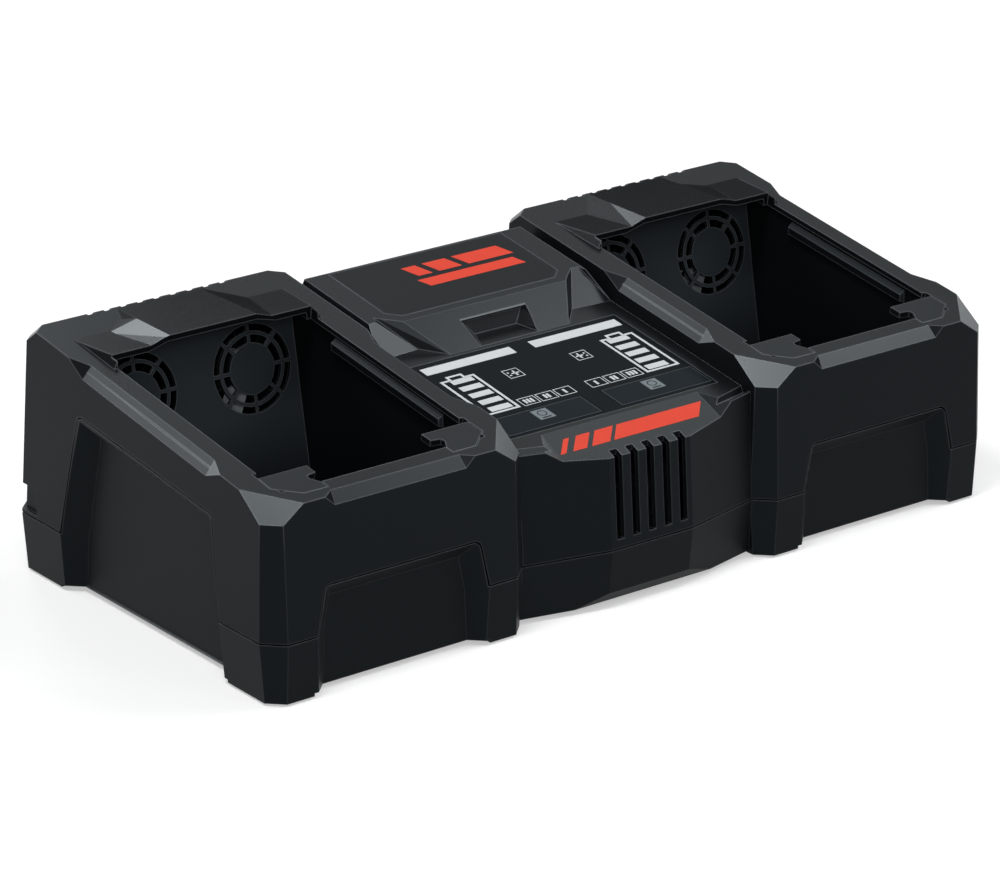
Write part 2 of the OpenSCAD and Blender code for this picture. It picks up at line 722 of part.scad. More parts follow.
fan_r = fan_size / 2 - 1.5;
fan_gap = 0.3;
module fan_frame(i) {
    on_fan(i) {
        difference() {
            translate([-fan_size / 2, tub_wall + 0.15, -fan_size / 2])
                cube([fan_size, fan_depth, fan_size]);
            translate([0, tub_wall - 1, 0]) rotate([-90, 0, 0]) cylinder(r = fan_r, h = fan_depth + 5);
            for (x = [-1, 1], z = [-1, 1]) translate([x * (fan_size / 2 - 5), 0, z * (fan_size / 2 - 5)])
                rotate([-90, 0, 0]) cylinder(r = 1.7, h = fan_depth + 5);
        }
        difference() {
            union() {
                translate([0, tub_wall + fan_depth - 2.35, 0]) rotate([-90, 0, 0])
                    cylinder(r = 10, h = 2.5);
                for (a = [0, 120, 240]) rotate([0, a + 30, 0])
                    translate([-1.5, tub_wall + fan_depth - 2.35, 8]) cube([3, 2.5, fan_r - 7]);
            }
            rotate([-90, 0, 0]) cylinder(r = 1.6, h = fan_depth + 6);
        }
    }
}
// fans 1 to 4 stand from left to right
module on_fan(i) at_bay_plain(i > 2 ? 1 : -1)
    on_back_wall(i == 1 || i == 3 ? -fan_pitch / 2 : fan_pitch / 2) children();
module at_bay_plain(side) translate([side * bay_x, 0, 0]) children();
module fan_rotor(i) {
    y0 = tub_wall + 1.4;
    on_fan(i) {
        difference() {
            translate([0, y0, 0]) rotate([-90, 0, 0]) cylinder(r = 9, h = fan_depth - 4.6);
            translate([0, y0 + 1.5, 0]) rotate([-90, 0, 0]) cylinder(r = 7.6, h = fan_depth);
        }
        translate([0, y0, 0]) rotate([-90, 0, 0]) cylinder(r = 1.55, h = fan_depth - 1.4);
        for (k = [0 : blades - 1]) rotate([0, k * 360 / blades, 0]) translate([0, y0 + 4.6, 8.4])
            rotate([0, 0, 35]) translate([-5, -0.6, 0]) cube([10, 1.2, fan_r - 9.6]);
    }
}
module fan_frame_1() color("#1b1d1e") fan_frame(1);
module fan_frame_2() color("#1b1d1e") fan_frame(2);
module fan_frame_3() color("#1b1d1e") fan_frame(3);
module fan_frame_4() color("#1b1d1e") fan_frame(4);
module fan_rotor_1() color("#2b2e30") fan_rotor(1);
module fan_rotor_2() color("#2b2e30") fan_rotor(2);
module fan_rotor_3() color("#2b2e30") fan_rotor(3);
module fan_rotor_4() color("#2b2e30") fan_rotor(4);

// ---------- power electronics ----------

deck = board_z + 1.6;
module main_board() color("#1f5a35") difference() {
    translate([-board_w / 2, board_y - board_l / 2, board_z]) cube([board_w, board_l, 1.6]);
    for (x = [-50, 50], y = [-68, 48]) translate([x, y, board_z - 1]) cylinder(r = 1.5, h = 4);
}
module at_coils() for (x = [-30, 30]) translate([x, 22, deck]) children();
module transformer_cores() color("#3a3a3c") at_coils() difference() {
    translate([-20, -17, 0]) cube([40, 34, 32]);
    for (s = [-1, 1]) translate([s * 11 - 4.2, -18, 6]) cube([8.4, 36, 20]);
}
module transformer_coils() color("#c79a3a") at_coils() difference() {
    translate([-14.9, -20, 6.3]) cube([29.8, 40, 19.4]);
    translate([-7.1, -17.3, 5]) cube([14.2, 34.6, 22]);
}
fins = 6;
module heatsinks() color("#a9adb0") for (x = [-32, 32]) translate([x, -42, deck]) {
    translate([-15, -24, 0]) cube([30, 48, 4]);
    for (i = [0 : fins - 1]) translate([-15 + i * 28 / (fins - 1), -24, 3]) cube([2, 48, 25]);
}
module bulk_capacitors() color("#2a3b66") for (y = [-66, -44, -22]) translate([0, y, deck])
    cylinder(r = 9, h = 30);
module filter_choke() color("#b5652a") translate([0, 46, deck + 10.3]) rotate([90, 0, 0])
    rotate_extrude() translate([8.5, 0]) square([3.5, 9], center = true);

// ---------- contacts, gland, feet and screws ----------

contact_n = 5;
module contact_block(side) at_bay(side) difference() {
    translate([-28, 20, tub_floor_z]) cube([56, 18, 10]);
    for (i = [0 : contact_n - 1]) translate([(i - (contact_n - 1) / 2) * 11 - 0.9, 22.9, tub_floor_z + 3])
        cube([1.8, 12.2, 10]);
}
module contact_block_left() color("#1d2022") contact_block(-1);
module contact_block_right() color("#1d2022") contact_block(1);
module contacts(side) at_bay(side) for (i = [0 : contact_n - 1])
    translate([(i - (contact_n - 1) / 2) * 11 - 0.6, 23.2, tub_floor_z + 3]) cube([1.2, 11.6, 16]);
module contacts_left() color("#c9a35a") contacts(-1);
module contacts_right() color("#c9a35a") contacts(1);
module cord_gland() color("#1c1e1f") translate([0, mid_back, gland_z]) rotate([90, 0, 0])
    difference() {
        union() {
            translate([0, 0, -3]) cylinder(r = 8.4, h = 2.4);
            translate([0, 0, -3]) cylinder(r = 6, h = 15);
            translate([0, 0, wall + 2]) cylinder(r = 7.6, h = 3);
        }
        translate([0, 0, -5]) cylinder(r = cord_r, h = 22);
    }
module rubber_feet() color("#1a1b1c") for (s = [-1, 1]) at_bay(s) pads(0);
module case_screw() translate([0, 0, head_z - 2.7]) {
    cylinder(r = 3.2, h = 2.7);
    cylinder(r = 1.45, h = part_z - head_z + 15.7);
}
module case_screws() color("#8f9497") {
    for (s = [-1, 1]) at_bay(s) for (y = post_y, t = [-1, 1]) translate([t * post_x, y, 0]) case_screw();
    at_mid_posts() case_screw();
}

base_shell();
housing_left();
housing_middle();
housing_right();
tub_left();
tub_right();
stops_left();
stops_right();
display_panel();
light_bars();
mode_key_left();
mode_key_right();
badge_plate();
fan_frame_1();
fan_frame_2();
fan_frame_3();
fan_frame_4();
fan_rotor_1();
fan_rotor_2();
fan_rotor_3();
fan_rotor_4();
main_board();
display_board();
key_switches();
transformer_cores();
transformer_coils();
heatsinks();
bulk_capacitors();
filter_choke();
contact_block_left();
contact_block_right();
contacts_left();
contacts_right();
cord_gland();
rubber_feet();
case_screws();
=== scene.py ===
import math
import bpy
from mathutils import Matrix, Vector


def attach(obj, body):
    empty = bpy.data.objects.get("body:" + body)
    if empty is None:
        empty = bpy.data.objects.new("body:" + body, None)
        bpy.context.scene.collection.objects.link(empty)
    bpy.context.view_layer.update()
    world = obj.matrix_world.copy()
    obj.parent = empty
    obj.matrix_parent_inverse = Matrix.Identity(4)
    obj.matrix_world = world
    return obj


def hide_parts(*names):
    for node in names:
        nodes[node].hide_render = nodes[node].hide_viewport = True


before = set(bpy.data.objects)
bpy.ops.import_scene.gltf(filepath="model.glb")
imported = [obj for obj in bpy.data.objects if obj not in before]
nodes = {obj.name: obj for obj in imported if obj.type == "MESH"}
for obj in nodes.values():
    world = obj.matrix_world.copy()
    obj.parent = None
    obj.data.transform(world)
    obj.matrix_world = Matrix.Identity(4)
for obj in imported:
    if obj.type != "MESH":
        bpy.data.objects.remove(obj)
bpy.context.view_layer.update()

mm = 0.001
bpy.ops.object.select_all(action="DESELECT")

# camera and lamps

camera = {
    "target": (-15.55, -12.95, 54.75), "distance": 2090.04,  # mm
    "azimuth": -36.71, "elevation": 20.85, "roll": -0.5,
    "lens": 164.41, "sensor": 36,
}
lamps = {  # in metres, each turned to lampLook's aim
    "overLeft": {"place": (-0.58, -0.29, 1.66), "size": (0.44, 0.42), "watts": 15.0},
    "backLeft": {"place": (-0.92, 1.24, 1.3), "size": (0.8, 0.7), "watts": 7.8},
    "back": {"place": (0.47, 1.68, 1.33), "size": (0.5, 0.6), "watts": 6.8},
    "backLow": {"place": (-0.24, 1.95, 0.6), "size": (0.8, 0.45), "watts": 4.8},
    "backRight": {"place": (1.15, 1.25, 1.25), "size": (0.9, 0.7), "watts": 1.25},
    "frontRight": {"place": (1.2, -0.64, 1.42), "size": (0.95, 0.95), "watts": 18.0},
    "front": {"place": (0.42, -1.6, 1.15), "size": (0.6, 0.6), "watts": 4.0},
    "fill": {"place": (-1.12, -1.5, 0.8), "size": (1.0, 0.8), "watts": 11.0},
    "rightLow": {"place": (1.85, 0.85, 0.4), "size": (0.7, 0.5), "watts": 2.4},
    "overRight": {"place": (0.98, 0.36, 1.45), "size": (0.5, 0.5), "watts": 2.0},
}
lampLook = {"aim": (0, 0, 0.05), "color": (0.92, 0.978, 1.0)}


def addCamera(view):
    az, el, roll = (math.radians(view[k]) for k in ("azimuth", "elevation", "roll"))
    back = Vector((math.sin(az) * math.cos(el), -math.cos(az) * math.cos(el), math.sin(el)))
    flat = Vector((math.cos(az), math.sin(az), 0))
    over = back.cross(flat)
    right = flat * math.cos(roll) + over * math.sin(roll)
    up = over * math.cos(roll) - flat * math.sin(roll)
    turn = Matrix((right, up, back)).transposed()
    spot = (Vector(view["target"]) + back * view["distance"]) * mm
    bpy.ops.object.camera_add(location=spot, rotation=turn.to_euler())
    made = bpy.context.object
    made.data.lens = view["lens"]
    made.data.sensor_width = view["sensor"]
    bpy.context.scene.camera = made


def addLamp(name, lamp, look):
    aim = Vector(look["aim"]) - Vector(lamp["place"])
    bpy.ops.object.light_add(type="AREA", location=lamp["place"],
                             rotation=aim.to_track_quat("-Z", "Y").to_euler())
    made = bpy.context.object
    made.name = name
    made.data.shape = "RECTANGLE"
    made.data.size, made.data.size_y = lamp["size"]
    made.data.energy = lamp["watts"]
    made.data.color = look["color"]


addCamera(camera)
bpy.context.scene.view_settings.view_transform = "Standard"
for name, lamp in lamps.items():
    addLamp(name, lamp, lampLook)
print("camera and lamps placed")

# shader helpers


class Sock:
    # an output socket; sums and products of it add Math nodes
    def __init__(self, paint, link):
        self.paint, self.link = paint, link

    def maths(self, operation, first, second):
        return self.paint.node("ShaderNodeMath", {"operation": operation}, {0: first, 1: second})

    def __add__(self, other):
        return self.maths("ADD", self, other)

    __radd__ = __add__

    def __mul__(self, other):
        return self.maths("MULTIPLY", self, other)

    __rmul__ = __mul__

    def __sub__(self, other):
        return self.maths("SUBTRACT", self, other)

    def __rsub__(self, other):
        return self.maths("SUBTRACT", other, self)

    def larger(self, other):
        return self.maths("MAXIMUM", self, other)

    def clamp(self):
        return self.paint.node("ShaderNodeClamp", {}, {0: self})

    def rise(self, low, high):
        # 0 up to low, 1 from high on
        return self.maths("DIVIDE", self - low, high - low).clamp()

    def part(self, axis):
        # one component of a vector
        return self.paint.node("ShaderNodeSeparateXYZ", {}, {0: self}, axis)


class Paint:
    # one material while it is being built
    def __init__(self, name):
        self.material = bpy.data.materials.new(name)
        self.material.use_nodes = True
        self.tree = self.material.node_tree
        self.tree.nodes.clear()

    def node(self, kind, settings=None, sockets=None, output=0):
        made = self.tree.nodes.new(kind)
        for key, value in (settings or {}).items():
            setattr(made, key, value)
        for key, value in (sockets or {}).items():
            if isinstance(value, Sock):
                self.tree.links.new(value.link, made.inputs[key])
            else:
                made.inputs[key].default_value = value
        return Sock(self, made.outputs[output])

    def coord(self, kind):
        return self.node("ShaderNodeTexCoord", output=kind)

    def noise(self, scale, detail):
        return self.node("ShaderNodeTexNoise", {}, {
            "Vector": self.coord("Object"), "Scale": scale, "Detail": detail})

    def blend(self, factor, first, second):
        # sockets 6 and 7 and output 2 are the colours
        return self.node("ShaderNodeMix", {"data_type": "RGBA"},
                         {0: factor, 6: first, 7: second}, 2)

    def edges(self, radius, gain, samples):
        # 0 on faces, rising to 1 on the rounded edges
        soft = self.node("ShaderNodeBevel", {"samples": samples}, {"Radius": radius})
        face = self.node("ShaderNodeNewGeometry", output="Normal")
        near = self.node("ShaderNodeVectorMath", {"operation": "DOT_PRODUCT"},
                         {0: soft, 1: face}, "Value")
        return ((1 - near) * gain).clamp()

    def principled(self, sockets):
        return self.node("ShaderNodeBsdfPrincipled", {}, sockets)

    def mix(self, factor, first, second):
        return self.node("ShaderNodeMixShader", {}, {0: factor, 1: first, 2: second})

    def finish(self, shader):
        out = self.tree.nodes.new("ShaderNodeOutputMaterial")
        self.tree.links.new(shader.link, out.inputs["Surface"])
        return self.material


# moulded plastics: heights, radii and depths in metres

coolTint = (0.87, 1.0, 1.11)
# tint of the painted highlight along edges
edgeHighlightTint = (0.97, 1.0, 1.03)


def gray(level, tint=coolTint):
    return tuple(level * t for t in tint) + (1.0,)


plasticLook = {
    "dark": gray(0.0052), "light": gray(0.0068), "cloudScale": 9.0, "cloudDetail": 3.0,
    "grainScale": 2300.0, "grainDetail": 1.0, "bump": 0.02, "bumpDepth": 0.00002,
    "rough": 0.28, "grainRough": 0.02, "cloudRough": 0.06,
    "specular": 0.28, "shine": (0.95, 0.985, 1.0, 1.0),
    # upright walls are rougher and carry a painted shade of weaker, cooler reflection; a normal
    # that leans up from topFrom to topAt is a top
    "wallRough": 0.1, "wallShadeSpecular": 0.075, "wallShadeShine": (0.74, 0.94, 1.0, 1.0),
    "topFrom": 0.09, "topAt": 0.17,
    # a painted highlight along the edges, full on tops and high up, weak on walls below a given
    # height
    "edge": gray(0.15, edgeHighlightTint), "edgeRadius": 0.0008, "edgeGain": 12.0, "edgeSamples": 6,
    "edgeHighlightShare": 0.8, "highlightFrom": 0.07, "highlightAt": 0.09, "wallHighlight": 0.25,
}
plastics = {  # what differs from plasticLook
    "housingPlastic": {},
    "basePlastic": {"rough": 0.3},
    "tubPlastic": {
        "dark": gray(0.036), "light": gray(0.044), "edge": gray(0.13, edgeHighlightTint),
        # the darkest colour here is a painted shade for the bottom and the side walls of a bay
        "deep": gray(0.006), "deepEnd": 0.02, "deepStart": 0.066, "rough": 0.38,
        "specular": 0.15,
    },
    "stopPlastic": {"dark": gray(0.0065), "light": gray(0.008)},
    "fanPlastic": {"dark": gray(0.003), "light": gray(0.004), "edge": gray(0.012)},
    "platePlastic": {
        "dark": gray(0.0046), "light": gray(0.006), "rough": 0.34, "specular": 0.195,
        "edgeHighlightShare": 0.5,
    },
}


def mouldedPlastic(name, look):
    paint = Paint(name)
    normal = paint.coord("Normal")
    height = paint.coord("Object").part("Z")
    cloud = paint.noise(look["cloudScale"], look["cloudDetail"])
    shade = paint.blend(cloud, look["dark"], look["light"])
    if "deep" in look:  # a painted shade, dark all over the side walls and towards the bottom of a bay
        sideways = normal.part("X")
        lit = height.rise(look["deepEnd"], look["deepStart"]) * (1 - sideways * sideways)
        shade = paint.blend(lit, look["deep"], shade)
    top = normal.part("Z").rise(look["topFrom"], look["topAt"])
    highlightReach = top.larger(height.rise(look["highlightFrom"], look["highlightAt"]))
    # painted highlight: the bevel mask lightens the colour along rounded edges, fully on tops and
    # high up, weakly on lower walls
    edge = paint.edges(look["edgeRadius"], look["edgeGain"], look["edgeSamples"])
    edge = edge * (highlightReach * (1 - look["wallHighlight"]) + look["wallHighlight"])
    shade = paint.blend(edge * look["edgeHighlightShare"], shade, look["edge"])
    grain = paint.noise(look["grainScale"], look["grainDetail"])
    bump = paint.node("ShaderNodeBump", {}, {
        "Strength": look["bump"], "Distance": look["bumpDepth"], "Height": grain})
    least = look["rough"] - (look["grainRough"] + look["cloudRough"]) / 2
    rough = grain * look["grainRough"] + cloud * look["cloudRough"] + least
    satin = paint.principled({
        "Base Color": shade, "Roughness": rough, "Normal": bump,
        "Specular IOR Level": look["specular"], "Specular Tint": look["shine"]})
    # upright walls: rougher, with a painted shade of weaker, cooler reflection than the tops
    shadedWalls = paint.principled({
        "Base Color": shade, "Roughness": rough + look["wallRough"], "Normal": bump,
        "Specular IOR Level": look["wallShadeSpecular"], "Specular Tint": look["wallShadeShine"]})
    return paint.finish(paint.mix(top, shadedWalls, satin))


# prints, glass, metals and the parts inside

finishes = {
    "displayGloss": {"color": (0.0045, 0.0062, 0.0078), "rough": 0.24, "specular": 0.04},
    "keyGloss": {"color": (0.0075, 0.011, 0.0145), "rough": 0.26, "specular": 0.05},
    "diffuserWhite": {"color": (0.61, 0.602, 0.6), "rough": 0.4},
    "inkWhite": {"color": (0.59, 0.586, 0.585), "rough": 0.45},
    "inkGray": {"color": (0.16, 0.18, 0.19), "rough": 0.45},
    "lineGray": {"color": (0.03, 0.036, 0.04), "rough": 0.4},
    "inkRed": {"color": (0.7, 0.052, 0.024), "rough": 0.5, "specular": 0.2},
    "footRubber": {"color": (0.012, 0.012, 0.012), "rough": 0.7},
    "boardLaminate": {"color": (0.02, 0.1, 0.045), "rough": 0.4},
    "ferrite": {"color": (0.03, 0.03, 0.032), "rough": 0.6},
    "varnishedWire": {"color": (0.5, 0.2, 0.06), "rough": 0.3, "metallic": 0.8},
    "extrudedMetal": {"color": (0.6, 0.61, 0.63), "rough": 0.35, "metallic": 1.0},
    "capacitorSleeve": {"color": (0.01, 0.012, 0.016), "rough": 0.35},
    "contactMetal": {"color": (0.8, 0.6, 0.3), "rough": 0.3, "metallic": 1.0},
    "screwSteel": {"color": (0.5, 0.5, 0.51), "rough": 0.38, "metallic": 1.0},
    "switchPlastic": {"color": (0.02, 0.02, 0.022), "rough": 0.4},
    "chokeWinding": {"color": (0.42, 0.16, 0.05), "rough": 0.4},
}
cloudLook = {"scale": 140.0, "detail": 3.0, "shadow": 0.86, "rough": 0.03}


def plainFinish(name, color, rough, metallic=0.0, specular=0.5):
    paint = Paint(name)
    cloud = paint.noise(cloudLook["scale"], cloudLook["detail"])
    shadow = tuple(c * cloudLook["shadow"] for c in color)
    return paint.finish(paint.principled({
        "Base Color": paint.blend(cloud, shadow + (1.0,), color + (1.0,)),
        "Roughness": cloud * (2 * cloudLook["rough"]) + (rough - cloudLook["rough"]),
        "Metallic": metallic, "Specular IOR Level": specular}))


paints = {}
for name, changes in plastics.items():
    paints[name] = mouldedPlastic(name, dict(plasticLook, **changes))
for name, look in finishes.items():
    paints[name] = plainFinish(name, **look)

# floor and surroundings

stage = {
    "size": 16.0, "color": (0.642, 0.6072, 0.6, 1.0), "glow": 0.43,
    "white": (1.0, 1.0, 1.0, 1.0), "sky": 0.03, "skySeen": 1.0,
}


def floorPaint(look):
    # glows to the camera and in reflections, and lights the object as a plain pale floor
    paint = Paint("paleFloor")
    path = "ShaderNodeLightPath"
    seen = (paint.node(path, output="Is Camera Ray") + paint.node(path, output="Is Glossy Ray")
            + paint.node(path, output="Is Transmission Ray")).clamp()
    lit = paint.node("ShaderNodeBsdfDiffuse", {}, {"Color": look["color"]})
    glow = paint.node("ShaderNodeEmission", {}, {"Color": look["white"], "Strength": look["glow"]})
    both = paint.node("ShaderNodeAddShader", {}, {0: lit, 1: glow})
    return paint.finish(paint.mix(seen, lit, both))


def addStage(look):
    bpy.ops.mesh.primitive_plane_add(size=look["size"], location=(0, 0, 0))
    floor = bpy.context.object
    floor.name = "floor"
    floor.data.materials.append(floorPaint(look))
    world = bpy.data.worlds.new("studio")
    bpy.context.scene.world = world
    world.use_nodes = True
    tree = world.node_tree
    tree.nodes.clear()
    out = tree.nodes.new("ShaderNodeOutputWorld")
    shade = tree.nodes.new("ShaderNodeBackground")
    path = tree.nodes.new("ShaderNodeLightPath")
    level = tree.nodes.new("ShaderNodeMix")
    level.inputs[2].default_value = look["sky"]
    level.inputs[3].default_value = look["skySeen"]
    tree.links.new(path.outputs["Is Camera Ray"], level.inputs[0])
    tree.links.new(level.outputs[0], shade.inputs["Strength"])
    tree.links.new(shade.outputs[0], out.inputs["Surface"])


addStage(stage)
print("materials and floor made")

# pieces that follow a CAD node's shape


def selectOnly(*pieces):
    bpy.ops.object.select_all(action="DESELECT")
    for piece in pieces:
        piece.select_set(True)
    bpy.context.view_layer.objects.active = pieces[0]


def editMesh(piece):
    selectOnly(piece)
    bpy.ops.object.mode_set(mode="EDIT")
    bpy.ops.mesh.select_all(action="SELECT")


def leaveEdit():
    bpy.ops.object.mode_set(mode="OBJECT")


dressing = {  # mm and degrees
    "merge": 0.003, "flat": 0.6,
    "corner": 9, "corners": {"housing_left": 3.5, "housing_right": 3.5},
    "strips": 2, "room": 2.4,  # least length of an edge that is rounded, in roundings
    "smooth": 24, "weight": 90,
}


def roundEdges(made, edge, corner):
    # edges with room for it are rounded; short ones and their neighbours stay sharp
    mesh = made.data
    editMesh(made)
    bpy.ops.mesh.select_mode(type="EDGE")
    bpy.ops.mesh.select_all(action="DESELECT")
    bpy.ops.mesh.edges_select_sharp(sharpness=math.radians(corner))
    leaveEdit()
    room = [1.0] * len(mesh.vertices)
    for line in mesh.edges:
        a, b = line.vertices
        length = (mesh.vertices[a].co - mesh.vertices[b].co).length
        room[a] = min(room[a], length)
        room[b] = min(room[b], length)
    for line in mesh.edges:
        if line.select and min(room[v] for v in line.vertices) < dressing["room"] * edge * mm:
            line.select = False
            line.use_edge_sharp = True
    bpy.ops.object.mode_set(mode="EDIT")
    bpy.ops.mesh.bevel(offset=edge * mm, offset_type="OFFSET", segments=dressing["strips"],
                       affect="EDGES", clamp_overlap=True)
    leaveEdit()


def dress(node, piece, paint, slot, edge, body="charger"):
    # own copy of the node's mesh, merged, with its longer edges rounded and its faces kept flat
    corner = dressing["corners"].get(node, dressing["corner"])
    made = bpy.data.objects.new(piece, nodes[node].data.copy())
    bpy.context.scene.collection.objects.link(made)
    editMesh(made)
    bpy.ops.mesh.remove_doubles(threshold=dressing["merge"] * mm)
    bpy.ops.mesh.customdata_custom_splitnormals_clear()
    bpy.ops.mesh.dissolve_limited(angle_limit=math.radians(dressing["flat"]))
    bpy.ops.mesh.mark_sharp(clear=True)
    leaveEdit()
    bpy.ops.object.shade_smooth()
    if edge:
        roundEdges(made, edge, corner)
    selectOnly(made)
    smooth = dressing["smooth"] if edge else corner
    bpy.ops.object.shade_smooth_by_angle(angle=math.radians(smooth))
    weighted = made.modifiers.new("flat", "WEIGHTED_NORMAL")
    weighted.weight = dressing["weight"]
    weighted.keep_sharp = True
    bpy.ops.object.modifier_apply(modifier="flat")
    made.data.materials.clear()
    made.data.materials.append(paints[paint])
    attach(made, body)
    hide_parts(node)


mouldings = [  # node, piece, finish, slot, rounding in mm
    ("base_shell", "lowerCase", "basePlastic", "base", 0.3),
    ("housing_left", "bayHousingLeft", "housingPlastic", "housing", 0.3),
    ("housing_middle", "middleHousing", "housingPlastic", "housing", 0.3),
    ("housing_right", "bayHousingRight", "housingPlastic", "housing", 0.3),
    ("tub_left", "bayLinerLeft", "tubPlastic", "tub", 0.2),
    ("tub_right", "bayLinerRight", "tubPlastic", "tub", 0.2),
    ("stops_left", "cornerStopsLeft", "stopPlastic", "stop", 0.14),
    ("stops_right", "cornerStopsRight", "stopPlastic", "stop", 0.14),
    ("display_panel", "displayGlass", "displayGloss", "display", 0.12),
    ("light_bars", "lightBars", "diffuserWhite", "lamp", 0.1),
    ("badge_plate", "topPlate", "platePlastic", "plate", 0.25),
    ("main_board", "powerBoard", "boardLaminate", "board", 0),
    ("display_board", "displayBoard", "boardLaminate", "board", 0),
    ("key_switches", "tactSwitches", "switchPlastic", "switch", 0.15),
    ("transformer_cores", "transformerCores", "ferrite", "ferrite", 0.4),
    ("transformer_coils", "transformerCoils", "varnishedWire", "winding", 0.8),
    ("heatsinks", "coolingFins", "extrudedMetal", "heatsink", 0.2),
    ("bulk_capacitors", "bulkCapacitors", "capacitorSleeve", "capacitor", 0.6),
    ("filter_choke", "filterChoke", "chokeWinding", "choke", 0.5),
    ("contact_block_left", "contactBlockLeft", "tubPlastic", "tub", 0.3),
    ("contact_block_right", "contactBlockRight", "tubPlastic", "tub", 0.3),
    ("contacts_left", "contactsLeft", "contactMetal", "contact", 0.2),
    ("contacts_right", "contactsRight", "contactMetal", "contact", 0.2),
    ("cord_gland", "cordGland", "fanPlastic", "gland", 0.4),
    ("rubber_feet", "rubberFeet", "footRubber", "rubber", 0.5),
    ("case_screws", "caseScrews", "screwSteel", "screw", 0.2),
]
fans = 4
rounding = {"key": 0.12, "frame": 0.3, "rotor": 0.2}
for row in mouldings:
    dress(*row)
for side in ("left", "right"):
    dress("mode_key_" + side, "modeKey" + side.title(), "keyGloss", "key", rounding["key"],
          "key_" + side)
for i in range(1, fans + 1):
    dress("fan_frame_%d" % i, "fanFrame%d" % i, "fanPlastic", "fan_frame", rounding["frame"])
    dress("fan_rotor_%d" % i, "fanRotor%d" % i, "fanPlastic", "fan_rotor", rounding["rotor"],
          "fan_%d" % i)
print("shells, bays, fans and electronics dressed")

# prints on the display, the front strip and the plate, in mm on their own surface

surfaces = {  # slope is the rise for each mm towards the back
    "display": {"origin": (0, 0, 94.63), "slope": 0.1535},
    "strip": {"origin": (0, -81.7, 82.1), "slope": 0.4516},
    "plate": {"origin": (0, 0, 105.23), "slope": 0.1535},
}


def onSurface(name):
    # x along the width, y up the slope, z off the face
    place = surfaces[name]
    tilt = math.atan(place["slope"])
    return Matrix.Translation(Vector(place["origin"]) * mm) @ Matrix.Rotation(tilt, 4, "X")


def startPatch(corners):
    # one face, drawn out to an outline and left in edit mode
    bpy.ops.mesh.primitive_circle_add(vertices=len(corners), radius=mm, fill_type="NGON")
    patch = bpy.context.object
    for vertex, (x, y) in zip(patch.data.vertices, corners):
        vertex.co = (x * mm, y * mm, 0)
    editMesh(patch)
    return patch


def thicken(thick):
    bpy.ops.mesh.extrude_region_move(TRANSFORM_OT_translate={"value": (0, 0, thick * mm)})
    bpy.ops.mesh.select_all(action="SELECT")
    bpy.ops.mesh.normals_make_consistent(inside=False)
    leaveEdit()


def flatPatch(corners, thick):
    patch = startPatch(corners)
    thicken(thick)
    return patch


def framePatch(corners, line, thick):
    # an outline of even width
    patch = startPatch(corners)
    bpy.ops.mesh.normals_make_consistent(inside=False)
    bpy.ops.mesh.inset(thickness=line * mm, depth=0)
    bpy.ops.mesh.delete(type="FACE")
    bpy.ops.mesh.select_all(action="SELECT")
    thicken(thick)
    return patch


def joinPrints(name, patches, surface, paint, lift, body="charger"):
    selectOnly(*patches)
    bpy.ops.object.join()
    made = bpy.context.object
    made.name = name
    made.matrix_world = onSurface(surface) @ Matrix.Translation((0, 0, lift * mm))
    bpy.ops.object.transform_apply(location=True, rotation=True, scale=True)
    made.data.materials.append(paints[paint])
    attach(made, body)


def block(x0, x1, y0, y1, slant=0.0):
    # from x0 to x1 and y0 to y1; slant moves the lower edge along x
    return [(x0 + slant, y0), (x1 + slant, y0), (x1, y1), (x0, y1)]


def ringCorners(x, y, radius, count):
    turn = [2 * math.pi * i / count for i in range(count)]
    return [(x + radius * math.cos(a), y + radius * math.sin(a)) for a in turn]


def mirrored(corners, side):
    return corners if side > 0 else [(-x, y) for x, y in reversed(corners)]


printThick = {"display": 0.04, "strip": 0.05, "plate": 0.05}
printLift = {"under": 0.01, "over": 0.06}  # from the surface to a print's underside

batteryPrint = {
    "left": 36, "right": 55, "low": -57, "shoulder": -21, "line": 1.35,
    "capLeft": 41, "capRight": 50, "top": -18,
    "bars": 5, "barLeft": 38.7, "barRight": 50.5, "barTop": -21.9, "barLength": 4.2,
    "barPitch": 7.2,
}


def batteryPatches(look, side):
    thick = printThick["display"]
    low, shoulder, top = look["low"], look["shoulder"], look["top"]
    outline = [
        (look["left"], low), (look["right"], low), (look["right"], shoulder),
        (look["capRight"], shoulder), (look["capRight"], top), (look["capLeft"], top),
        (look["capLeft"], shoulder), (look["left"], shoulder)]
    made = [framePatch(mirrored(outline, side), look["line"], thick)]
    for i in range(look["bars"]):
        high = look["barTop"] - look["barPitch"] * i
        bar = block(look["barLeft"], look["barRight"], high - look["barLength"], high)
        made.append(flatPatch(mirrored(bar, side), thick))
    return made


markPrint = {
    "line": 0.42,
    # a row of boxes with one to three ticks
    "boxes": 3, "boxLeft": 4.4, "boxWidth": 9.2, "boxPitch": 10.2, "boxLow": -57.3,
    "boxHigh": -50.3,
    "tickPitch": 1.9, "tickGap": 0.25, "tickWidth": 1.3, "tickLow": -55.6, "tickHigh": -52.0,
    # a framed plus sign with two dots
    "sign": (15.2, 23.6, -33, -25),
    "strokes": [(17.9, 18.9, -31.4, -26.6), (16.4, 20.4, -29.5, -28.5),
                (21.2, 22.2, -30.9, -29.9), (21.2, 22.2, -28.3, -27.3)],
}


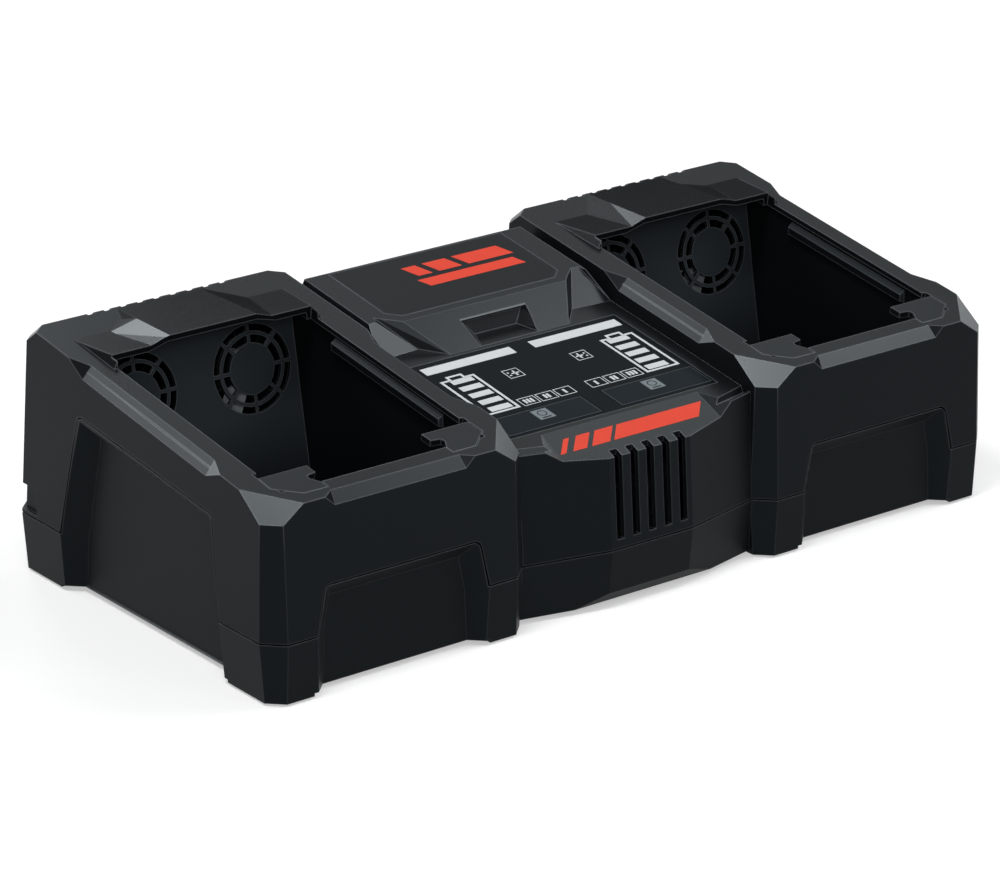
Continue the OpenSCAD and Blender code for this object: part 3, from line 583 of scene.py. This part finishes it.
def markPatches(look, side):
    thick = printThick["display"]
    made = []
    for i in range(look["boxes"]):
        x = look["boxLeft"] + look["boxPitch"] * i
        box = block(x, x + look["boxWidth"], look["boxLow"], look["boxHigh"])
        made.append(framePatch(mirrored(box, side), look["line"], thick))
        first = x + look["boxWidth"] / 2 - (i + 1) * look["tickPitch"] / 2 + look["tickGap"]
        for k in range(i + 1):
            left = first + k * look["tickPitch"]
            tick = block(left, left + look["tickWidth"], look["tickLow"], look["tickHigh"])
            made.append(flatPatch(mirrored(tick, side), thick))
    made.append(framePatch(mirrored(block(*look["sign"]), side), look["line"], thick))
    for stroke in look["strokes"]:
        made.append(flatPatch(mirrored(block(*stroke), side), thick))
    return made


whitePatches = []
for side in (-1, 1):
    whitePatches += batteryPatches(batteryPrint, side) + markPatches(markPrint, side)
joinPrints("displayPrints", whitePatches, "display", "inkWhite", printLift["under"])

keyPrint = {
    "square": (27, 35.5, -71.3, -62.7), "ring": (31.25, -66.2, 2.4), "ringCorners": 20,
    "ringLine": 0.5, "bar": (28.9, 33.6, -70.4, -69.6),
    "border": (5.9, 57.5, -77.2, -61.1), "borderLine": 0.4,
}


def addKeyPrints(look, side, word):
    thick, under, over = printThick["display"], printLift["under"], printLift["over"]
    body = "key_" + word.lower()
    square = flatPatch(mirrored(block(*look["square"]), side), thick)
    joinPrints("modeSquare" + word, [square], "display", "inkGray", under, body)
    ring = mirrored(ringCorners(*look["ring"], look["ringCorners"]), side)
    marks = [framePatch(ring, look["ringLine"], thick),
             flatPatch(mirrored(block(*look["bar"]), side), thick)]
    joinPrints("modeMark" + word, marks, "display", "keyGloss", over, body)
    border = framePatch(mirrored(block(*look["border"]), side), look["borderLine"], thick)
    joinPrints("keyBorder" + word, [border], "display", "lineGray", under, body)


addKeyPrints(keyPrint, -1, "Left")
addKeyPrints(keyPrint, 1, "Right")

stripPrint = {
    "low": -14.1, "high": -5.8, "slant": -7.2,
    "blocks": [(-36, -32.9), (-29, -21.3), (-18.5, -8.3), (-6.1, 42.2)],
}
platePrint = {
    "stripe": (-16, 39, 42.5, 50, 2.6), "low": 53.5, "high": 63.5, "slant": 3.4,
    "blocks": [(-16, -8), (-4, 9), (13, 39)],
}


def blockPatches(look, thick):
    return [flatPatch(block(x0, x1, look["low"], look["high"], look["slant"]), thick)
            for x0, x1 in look["blocks"]]


redBlocks = blockPatches(stripPrint, printThick["strip"])
joinPrints("redBlocks", redBlocks, "strip", "inkRed", printLift["under"])
plateStripes = [flatPatch(block(*platePrint["stripe"]), printThick["plate"])]
plateStripes += blockPatches(platePrint, printThick["plate"])
joinPrints("plateStripes", plateStripes, "plate", "inkRed", printLift["under"])
print("prints drawn")
